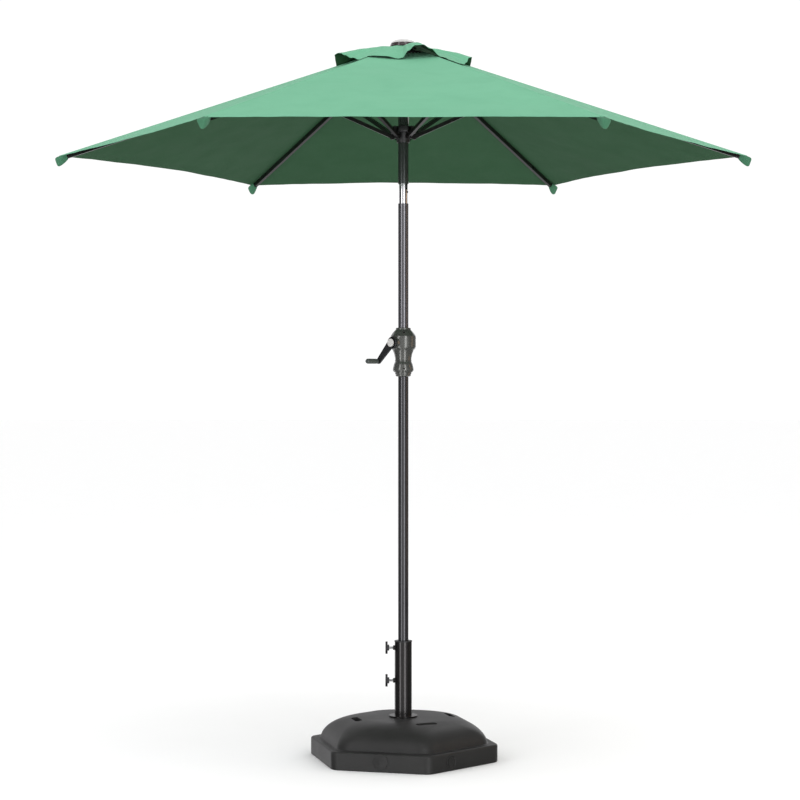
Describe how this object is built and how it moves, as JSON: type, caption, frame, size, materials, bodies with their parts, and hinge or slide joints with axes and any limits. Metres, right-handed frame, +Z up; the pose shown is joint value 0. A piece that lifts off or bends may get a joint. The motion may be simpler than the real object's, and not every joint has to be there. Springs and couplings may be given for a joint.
{
  "type": "patio umbrella with base",
  "caption": "Hexagonal garden umbrella with a wind vent flap, hinged ribs and struts, crank lift, tilting top pole and a low weighted hexagonal base with a clamped socket tube.",
  "frame": {"origin": "on the pole axis at floor level", "axes": "+Z up along the pole; +X and -X each run under one rib; the crank handle faces the -X -Y quarter"},
  "size_m": [2.528, 2.2004, 2.608],
  "materials": {
    "canopy_fabric": "matte",
    "pole_metal": "satin",
    "frame_metal": "satin",
    "base_plastic": "matte",
    "sand_fill": "matte",
    "housing_plastic": "satin",
    "black_plastic": "satin",
    "grip_plastic": "satin",
    "finial_plastic": "gloss",
    "cap_plastic": "gloss",
    "white_plastic": "satin",
    "chrome": "polished",
    "bright_steel": "satin",
    "cord": "matte"
  },
  "bodies": {
    "base": {"base_tank": "base_plastic", "base_fill": "sand_fill", "socket_tube": "pole_metal", "socket_flange": "pole_metal", "socket_bush": "black_plastic", "socket_nuts": "pole_metal"},
    "fill_plug": {"fill_plug": "base_plastic"},
    "lower_screw": {"lower_knob_screw": "bright_steel"},
    "lower_knob": {"lower_knob": "black_plastic"},
    "upper_screw": {"upper_knob_screw": "bright_steel"},
    "upper_knob": {"upper_knob": "black_plastic"},
    "mast": {"lower_pole": "pole_metal", "middle_pole": "pole_metal", "crank_front_cover": "housing_plastic", "crank_rear_cover": "housing_plastic", "crank_cover_screws": "bright_steel", "crank_bushes": "white_plastic", "tilt_fork": "chrome", "tilt_pin": "bright_steel", "tilt_spring": "bright_steel", "lift_cord_lower": "cord"},
    "crank": {"crank_axle": "bright_steel", "cord_spool": "white_plastic", "crank_handle": "black_plastic", "crank_cap": "cap_plastic"},
    "crank_grip": {"crank_grip": "grip_plastic"},
    "tilt_button": {"tilt_button": "black_plastic"},
    "top_pole": {"tilt_knuckle": "black_plastic", "upper_pole": "pole_metal", "top_hub": "black_plastic", "finial": "finial_plastic", "hub_pins": "bright_steel", "lift_cord_upper": "cord", "lift_cord_fall": "cord"},
    "pulley": {"top_pulley": "white_plastic"},
    "runner": {"runner": "black_plastic"},
    "rib_1": {"rib_1": "frame_metal", "canopy_1": "canopy_fabric", "vent_flap_1": "canopy_fabric"},
    "strut_1": {"strut_1": "frame_metal"},
    "rib_2": {"rib_2": "frame_metal", "canopy_2": "canopy_fabric", "vent_flap_2": "canopy_fabric"},
    "strut_2": {"strut_2": "frame_metal"},
    "rib_3": {"rib_3": "frame_metal", "canopy_3": "canopy_fabric", "vent_flap_3": "canopy_fabric"},
    "strut_3": {"strut_3": "frame_metal"},
    "rib_4": {"rib_4": "frame_metal", "canopy_4": "canopy_fabric", "vent_flap_4": "canopy_fabric"},
    "strut_4": {"strut_4": "frame_metal"},
    "rib_5": {"rib_5": "frame_metal", "canopy_5": "canopy_fabric", "vent_flap_5": "canopy_fabric"},
    "strut_5": {"strut_5": "frame_metal"},
    "rib_6": {"rib_6": "frame_metal", "canopy_6": "canopy_fabric", "vent_flap_6": "canopy_fabric"},
    "strut_6": {"strut_6": "frame_metal"}
  },
  "joints": [
    {"name": "mast_lift", "type": "slide", "parent": "base", "child": "mast", "axis": [0, 0, 1], "range_m": [0, 0.35]},
    {"name": "fill_plug_turn", "type": "hinge", "parent": "base", "child": "fill_plug", "pos_m": [0.16851, -0.2675, 0.032], "axis": [0.7071, -0.7071, 0], "range_deg": [0, 360]},
    {"name": "lower_screw_travel", "type": "slide", "parent": "base", "child": "lower_screw", "axis": [-1, 0, 0], "range_m": [0, 0.004]},
    {"name": "lower_knob_turn", "type": "hinge", "parent": "lower_screw", "child": "lower_knob", "pos_m": [-0.057, 0, 0.281], "axis": [-1, 0, 0], "range_deg": [0, 1080]},
    {"name": "upper_screw_travel", "type": "slide", "parent": "base", "child": "upper_screw", "axis": [-1, 0, 0], "range_m": [0, 0.004]},
    {"name": "upper_knob_turn", "type": "hinge", "parent": "upper_screw", "child": "upper_knob", "pos_m": [-0.057, 0, 0.4], "axis": [-1, 0, 0], "range_deg": [0, 1080]},
    {"name": "crank_turn", "type": "hinge", "parent": "mast", "child": "crank", "pos_m": [0, 0, 1.508], "axis": [-0.6691, -0.7431, 0], "range_deg": [-5, 3783]},
    {"name": "crank_grip_turn", "type": "hinge", "parent": "crank", "child": "crank_grip", "pos_m": [-0.11504, -0.03502, 1.44145], "axis": [-0.6691, -0.7431, 0], "continuous": true},
    {"name": "tilt_button_press", "type": "slide", "parent": "mast", "child": "tilt_button", "axis": [-0.866, 0.5, 0], "range_m": [0, 0.003], "stiffness_N_per_m": 600, "springref_m": -0.002, "deforming": ["tilt_spring"]},
    {"name": "tilt", "type": "hinge", "parent": "mast", "child": "top_pole", "pos_m": [0, 0, 2.08], "axis": [0.5, 0.866, 0], "range_deg": [-30, 0]},
    {"name": "runner_slide", "type": "slide", "parent": "top_pole", "child": "runner", "axis": [0, 0, -1], "range_m": [0, 0.5011], "deforming": ["lift_cord_fall"]},
    {"name": "pulley_turn", "type": "hinge", "parent": "top_pole", "child": "pulley", "pos_m": [0.01264, -0.0073, 2.538], "axis": [0.5, 0.866, 0], "range_deg": [-5, 4107]},
    {"name": "rib_1_fold", "type": "hinge", "parent": "top_pole", "child": "rib_1", "pos_m": [0.038, 0, 2.568], "axis": [0, 1, 0], "range_deg": [0, 60.15], "deforming": ["canopy_1", "vent_flap_1"]},
    {"name": "strut_1_fold", "type": "hinge", "parent": "rib_1", "child": "strut_1", "pos_m": [0.42, 0, 2.4257], "axis": [0, 1, 0], "range_deg": [-117.09, 0]},
    {"name": "rib_2_fold", "type": "hinge", "parent": "top_pole", "child": "rib_2", "pos_m": [0.019, 0.03291, 2.568], "axis": [-0.866, 0.5, 0], "range_deg": [0, 60.15], "deforming": ["canopy_2", "vent_flap_2"]},
    {"name": "strut_2_fold", "type": "hinge", "parent": "rib_2", "child": "strut_2", "pos_m": [0.21, 0.36373, 2.4257], "axis": [-0.866, 0.5, 0], "range_deg": [-117.09, 0]},
    {"name": "rib_3_fold", "type": "hinge", "parent": "top_pole", "child": "rib_3", "pos_m": [-0.019, 0.03291, 2.568], "axis": [-0.866, -0.5, 0], "range_deg": [0, 60.15], "deforming": ["canopy_3", "vent_flap_3"]},
    {"name": "strut_3_fold", "type": "hinge", "parent": "rib_3", "child": "strut_3", "pos_m": [-0.21, 0.36373, 2.4257], "axis": [-0.866, -0.5, 0], "range_deg": [-117.09, 0]},
    {"name": "rib_4_fold", "type": "hinge", "parent": "top_pole", "child": "rib_4", "pos_m": [-0.038, 0, 2.568], "axis": [0, -1, 0], "range_deg": [0, 60.15], "deforming": ["canopy_4", "vent_flap_4"]},
    {"name": "strut_4_fold", "type": "hinge", "parent": "rib_4", "child": "strut_4", "pos_m": [-0.42, 0, 2.4257], "axis": [0, -1, 0], "range_deg": [-117.09, 0]},
    {"name": "rib_5_fold", "type": "hinge", "parent": "top_pole", "child": "rib_5", "pos_m": [-0.019, -0.03291, 2.568], "axis": [0.866, -0.5, 0], "range_deg": [0, 60.15], "deforming": ["canopy_5", "vent_flap_5"]},
    {"name": "strut_5_fold", "type": "hinge", "parent": "rib_5", "child": "strut_5", "pos_m": [-0.21, -0.36373, 2.4257], "axis": [0.866, -0.5, 0], "range_deg": [-117.09, 0]},
    {"name": "rib_6_fold", "type": "hinge", "parent": "top_pole", "child": "rib_6", "pos_m": [0.019, -0.03291, 2.568], "axis": [0.866, 0.5, 0], "range_deg": [0, 60.15], "deforming": ["canopy_6", "vent_flap_6"]},
    {"name": "strut_6_fold", "type": "hinge", "parent": "rib_6", "child": "strut_6", "pos_m": [0.21, -0.36373, 2.4257], "axis": [0.866, 0.5, 0], "range_deg": [-117.09, 0]}
  ],
  "couplings": [
    {"joint": "lower_screw_travel", "follows": "lower_knob_turn", "m_per_rad": 0.00019894},
    {"joint": "upper_screw_travel", "follows": "upper_knob_turn", "m_per_rad": 0.00019894},
    {"joint": "crank_turn", "follows": "runner_slide", "rad_per_m": 131.58},
    {"joint": "pulley_turn", "follows": "runner_slide", "rad_per_m": 142.86},
    {"joint": "rib_1_fold", "follows": "runner_slide", "rad_per_m": 2.0933},
    {"joint": "strut_1_fold", "follows": "runner_slide", "rad_per_m": -4.0765},
    {"joint": "rib_2_fold", "follows": "runner_slide", "rad_per_m": 2.0933},
    {"joint": "strut_2_fold", "follows": "runner_slide", "rad_per_m": -4.0765},
    {"joint": "rib_3_fold", "follows": "runner_slide", "rad_per_m": 2.0933},
    {"joint": "strut_3_fold", "follows": "runner_slide", "rad_per_m": -4.0765},
    {"joint": "rib_4_fold", "follows": "runner_slide", "rad_per_m": 2.0933},
    {"joint": "strut_4_fold", "follows": "runner_slide", "rad_per_m": -4.0765},
    {"joint": "rib_5_fold", "follows": "runner_slide", "rad_per_m": 2.0933},
    {"joint": "strut_5_fold", "follows": "runner_slide", "rad_per_m": -4.0765},
    {"joint": "rib_6_fold", "follows": "runner_slide", "rad_per_m": 2.0933},
    {"joint": "strut_6_fold", "follows": "runner_slide", "rad_per_m": -4.0765}
  ]
}
